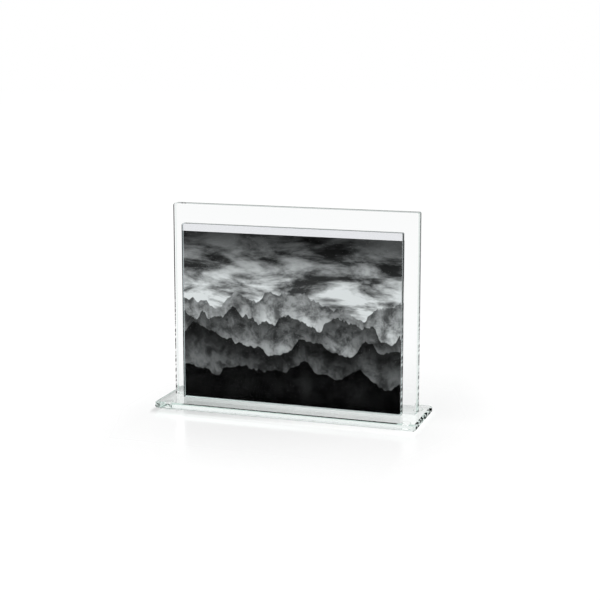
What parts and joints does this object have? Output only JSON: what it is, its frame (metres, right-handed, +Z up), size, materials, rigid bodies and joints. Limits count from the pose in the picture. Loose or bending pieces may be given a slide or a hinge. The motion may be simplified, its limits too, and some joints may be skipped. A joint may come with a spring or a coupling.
{
  "type": "glass block photo frame",
  "caption": "Free-standing block photo frame of clear glass: upright front and back panes bonded to a flat base plate, with a landscape print that lifts out of the slot between them.",
  "frame": {"origin": "on the table, under the middle of the base plate", "axes": "+X along the panes to the viewer's right, +Y away from the viewer, +Z up; the print's picture side faces -Y"},
  "size_m": [0.237, 0.0646, 0.181],
  "materials": {
    "base_glass": "clear, ground and polished edges",
    "back_glass": "clear, ground and polished edges",
    "front_glass": "clear, ground and polished edges",
    "bond": "clear cured adhesive",
    "print": "semi-gloss black-and-white photographic paper",
    "foot": "clear soft polyurethane"
  },
  "bodies": {
    "frame": {"base_plate": "base_glass", "back_pane": "back_glass", "front_pane": "front_glass", "back_pane_bond": "bond", "front_pane_bond": "bond", "foot_front_left": "foot", "foot_front_right": "foot", "foot_back_left": "foot", "foot_back_right": "foot"},
    "print": {"photo_print": "print"}
  },
  "joints": [
    {"name": "print_lift", "type": "slide", "parent": "frame", "child": "print", "axis": [0, 0, 1], "range_m": [0, 0.18]}
  ]
}
